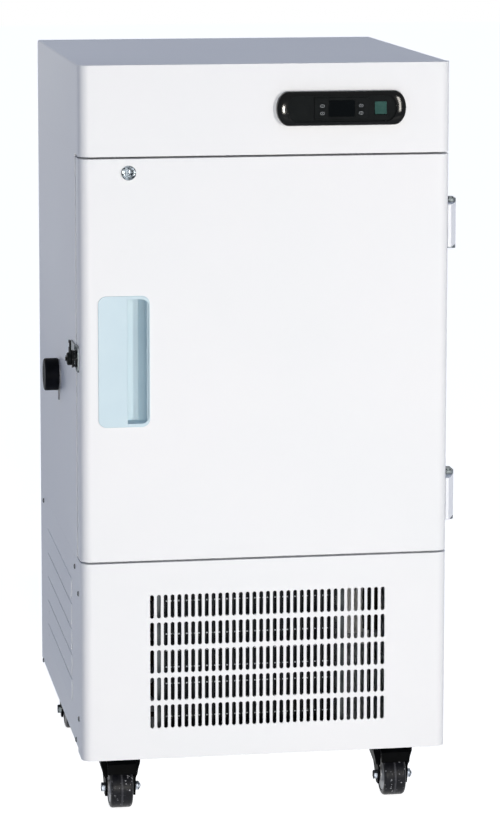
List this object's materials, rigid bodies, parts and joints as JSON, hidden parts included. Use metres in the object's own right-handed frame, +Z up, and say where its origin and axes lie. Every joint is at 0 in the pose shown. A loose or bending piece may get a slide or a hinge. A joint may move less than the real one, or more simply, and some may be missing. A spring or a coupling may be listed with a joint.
{
  "type": "ultra low temperature freezer",
  "caption": "Small upright laboratory freezer: one insulated door with a recessed grip, control pod, slotted grille, access port with plug and four swivel castors.",
  "frame": {"origin": "middle of the bounding box in plan, at floor level under the castor wheels", "axes": "+X towards the freezer's right side seen from the front, +Y towards its back, +Z up"},
  "size_m": [0.594, 0.613, 1.128],
  "materials": {
    "white_paint": "satin",
    "galvanised_steel": "satin",
    "stainless_steel": "satin",
    "insulating_foam": "matte",
    "white_plastic": "satin",
    "grey_rubber": "matte",
    "blue_plastic": "satin",
    "polished_chrome": "polished",
    "zinc_plated_steel": "satin",
    "black_plastic": "satin",
    "dark_glossy_plastic": "gloss",
    "key_plastic": "satin",
    "black_rubber": "matte",
    "black_paint": "satin",
    "aluminium_fins": "satin",
    "copper_tube": "satin",
    "wheel_plastic": "satin"
  },
  "bodies": {
    "cabinet": {"top_cover": "white_paint", "header_panel": "white_paint", "side_panel_left": "white_paint", "side_panel_right": "white_paint", "back_panel": "galvanised_steel", "front_frame": "white_paint", "breaker_frame": "white_plastic", "body_end_sheets": "galvanised_steel", "cabinet_insulation": "insulating_foam", "inner_liner": "stainless_steel", "shelves": "stainless_steel", "evaporator_coil": "copper_tube", "grille_panel": "white_paint", "service_cover_left": "white_paint", "service_cover_right": "white_paint", "base_plate": "galvanised_steel", "port_sleeve": "white_plastic", "hinge_bases": "zinc_plated_steel", "hinge_pins": "zinc_plated_steel", "latch_keeper": "zinc_plated_steel", "control_bezel": "black_plastic", "control_panel": "black_plastic", "controller": "dark_glossy_plastic", "electrical_box": "galvanised_steel", "power_inlet": "black_plastic", "condenser_core": "aluminium_fins", "condenser_return_bends": "copper_tube", "fan_shroud": "galvanised_steel", "fan_motor": "black_paint", "compressor": "black_paint", "compressor_feet": "black_rubber", "refrigerant_lines": "copper_tube", "castor_plates": "black_paint"},
    "door": {"door_skin": "white_paint", "door_liner": "white_plastic", "door_insulation": "insulating_foam", "door_gasket": "grey_rubber", "handle_insert": "blue_plastic", "lock_housing": "polished_chrome", "hinge_leaves": "white_paint", "latch_base": "white_paint"},
    "lock_cylinder": {"lock_barrel": "polished_chrome"},
    "latch_handle": {"latch_knob": "zinc_plated_steel"},
    "plug": {"port_plug": "black_rubber"},
    "key_one": {"key_1": "key_plastic"},
    "key_two": {"key_2": "key_plastic"},
    "key_three": {"key_3": "key_plastic"},
    "key_four": {"key_4": "key_plastic"},
    "rocker": {"power_rocker": "black_plastic"},
    "fan": {"fan_blades": "black_plastic"},
    "swivel_front_left": {"castor_fork_front_left": "black_paint"},
    "wheel_front_left": {"castor_wheel_front_left": "wheel_plastic"},
    "swivel_front_right": {"castor_fork_front_right": "black_paint"},
    "wheel_front_right": {"castor_wheel_front_right": "wheel_plastic"},
    "swivel_rear_left": {"castor_fork_rear_left": "black_paint"},
    "wheel_rear_left": {"castor_wheel_rear_left": "wheel_plastic"},
    "swivel_rear_right": {"castor_fork_rear_right": "black_paint"},
    "wheel_rear_right": {"castor_wheel_rear_right": "wheel_plastic"},
    "pedal_front_left": {"brake_pedal_front_left": "black_paint"},
    "pedal_front_right": {"brake_pedal_front_right": "black_paint"}
  },
  "joints": [
    {"name": "door_hinge", "type": "hinge", "parent": "cabinet", "child": "door", "pos_m": [0.288, -0.2435, 0.697], "axis": [0, 0, 1], "range_deg": [0, 110]},
    {"name": "lock_turn", "type": "hinge", "parent": "door", "child": "lock_cylinder", "pos_m": [-0.2005, -0.2935, 0.9715], "axis": [0, 1, 0], "range_deg": [0, 90]},
    {"name": "latch_turn", "type": "hinge", "parent": "door", "child": "latch_handle", "pos_m": [-0.273, -0.2655, 0.6965], "axis": [-1, 0, 0], "range_deg": [0, 90]},
    {"name": "plug_pull", "type": "slide", "parent": "cabinet", "child": "plug", "axis": [-1, 0, 0], "range_m": [0, 0.12]},
    {"name": "key_one_press", "type": "slide", "parent": "cabinet", "child": "key_one", "axis": [0, 1, 0], "range_m": [0, 0.0006], "stiffness_N_per_m": 1500},
    {"name": "key_two_press", "type": "slide", "parent": "cabinet", "child": "key_two", "axis": [0, 1, 0], "range_m": [0, 0.0006], "stiffness_N_per_m": 1500},
    {"name": "key_three_press", "type": "slide", "parent": "cabinet", "child": "key_three", "axis": [0, 1, 0], "range_m": [0, 0.0006], "stiffness_N_per_m": 1500},
    {"name": "key_four_press", "type": "slide", "parent": "cabinet", "child": "key_four", "axis": [0, 1, 0], "range_m": [0, 0.0006], "stiffness_N_per_m": 1500},
    {"name": "rocker_tilt", "type": "hinge", "parent": "cabinet", "child": "rocker", "pos_m": [0.1697, -0.302, 1.0622], "axis": [1, 0, 0], "range_deg": [0, 14]},
    {"name": "fan_spin", "type": "hinge", "parent": "cabinet", "child": "fan", "pos_m": [-0.0125, -0.1625, 0.2304], "axis": [0, 1, 0], "continuous": true},
    {"name": "swivel_front_left", "type": "hinge", "parent": "cabinet", "child": "swivel_front_left", "pos_m": [-0.2075, -0.1855, 0.0855], "axis": [0, 0, 1], "continuous": true},
    {"name": "roll_front_left", "type": "hinge", "parent": "swivel_front_left", "child": "wheel_front_left", "pos_m": [-0.2075, -0.2135, 0.03175], "axis": [1, 0, 0], "continuous": true},
    {"name": "pedal_front_left", "type": "hinge", "parent": "swivel_front_left", "child": "pedal_front_left", "pos_m": [-0.2075, -0.2165, 0.0765], "axis": [1, 0, 0], "range_deg": [0, 12]},
    {"name": "swivel_front_right", "type": "hinge", "parent": "cabinet", "child": "swivel_front_right", "pos_m": [0.2115, -0.1855, 0.0855], "axis": [0, 0, 1], "continuous": true},
    {"name": "roll_front_right", "type": "hinge", "parent": "swivel_front_right", "child": "wheel_front_right", "pos_m": [0.2115, -0.2135, 0.03175], "axis": [1, 0, 0], "continuous": true},
    {"name": "pedal_front_right", "type": "hinge", "parent": "swivel_front_right", "child": "pedal_front_right", "pos_m": [0.2115, -0.2165, 0.0765], "axis": [1, 0, 0], "range_deg": [0, 12]},
    {"name": "swivel_rear_left", "type": "hinge", "parent": "cabinet", "child": "swivel_rear_left", "pos_m": [-0.227, 0.2595, 0.0855], "axis": [0, 0, 1], "continuous": true},
    {"name": "roll_rear_left", "type": "hinge", "parent": "swivel_rear_left", "child": "wheel_rear_left", "pos_m": [-0.227, 0.2315, 0.03175], "axis": [1, 0, 0], "continuous": true},
    {"name": "swivel_rear_right", "type": "hinge", "parent": "cabinet", "child": "swivel_rear_right", "pos_m": [0.231, 0.2595, 0.0855], "axis": [0, 0, 1], "continuous": true},
    {"name": "roll_rear_right", "type": "hinge", "parent": "swivel_rear_right", "child": "wheel_rear_right", "pos_m": [0.231, 0.2315, 0.03175], "axis": [1, 0, 0], "continuous": true}
  ]
}
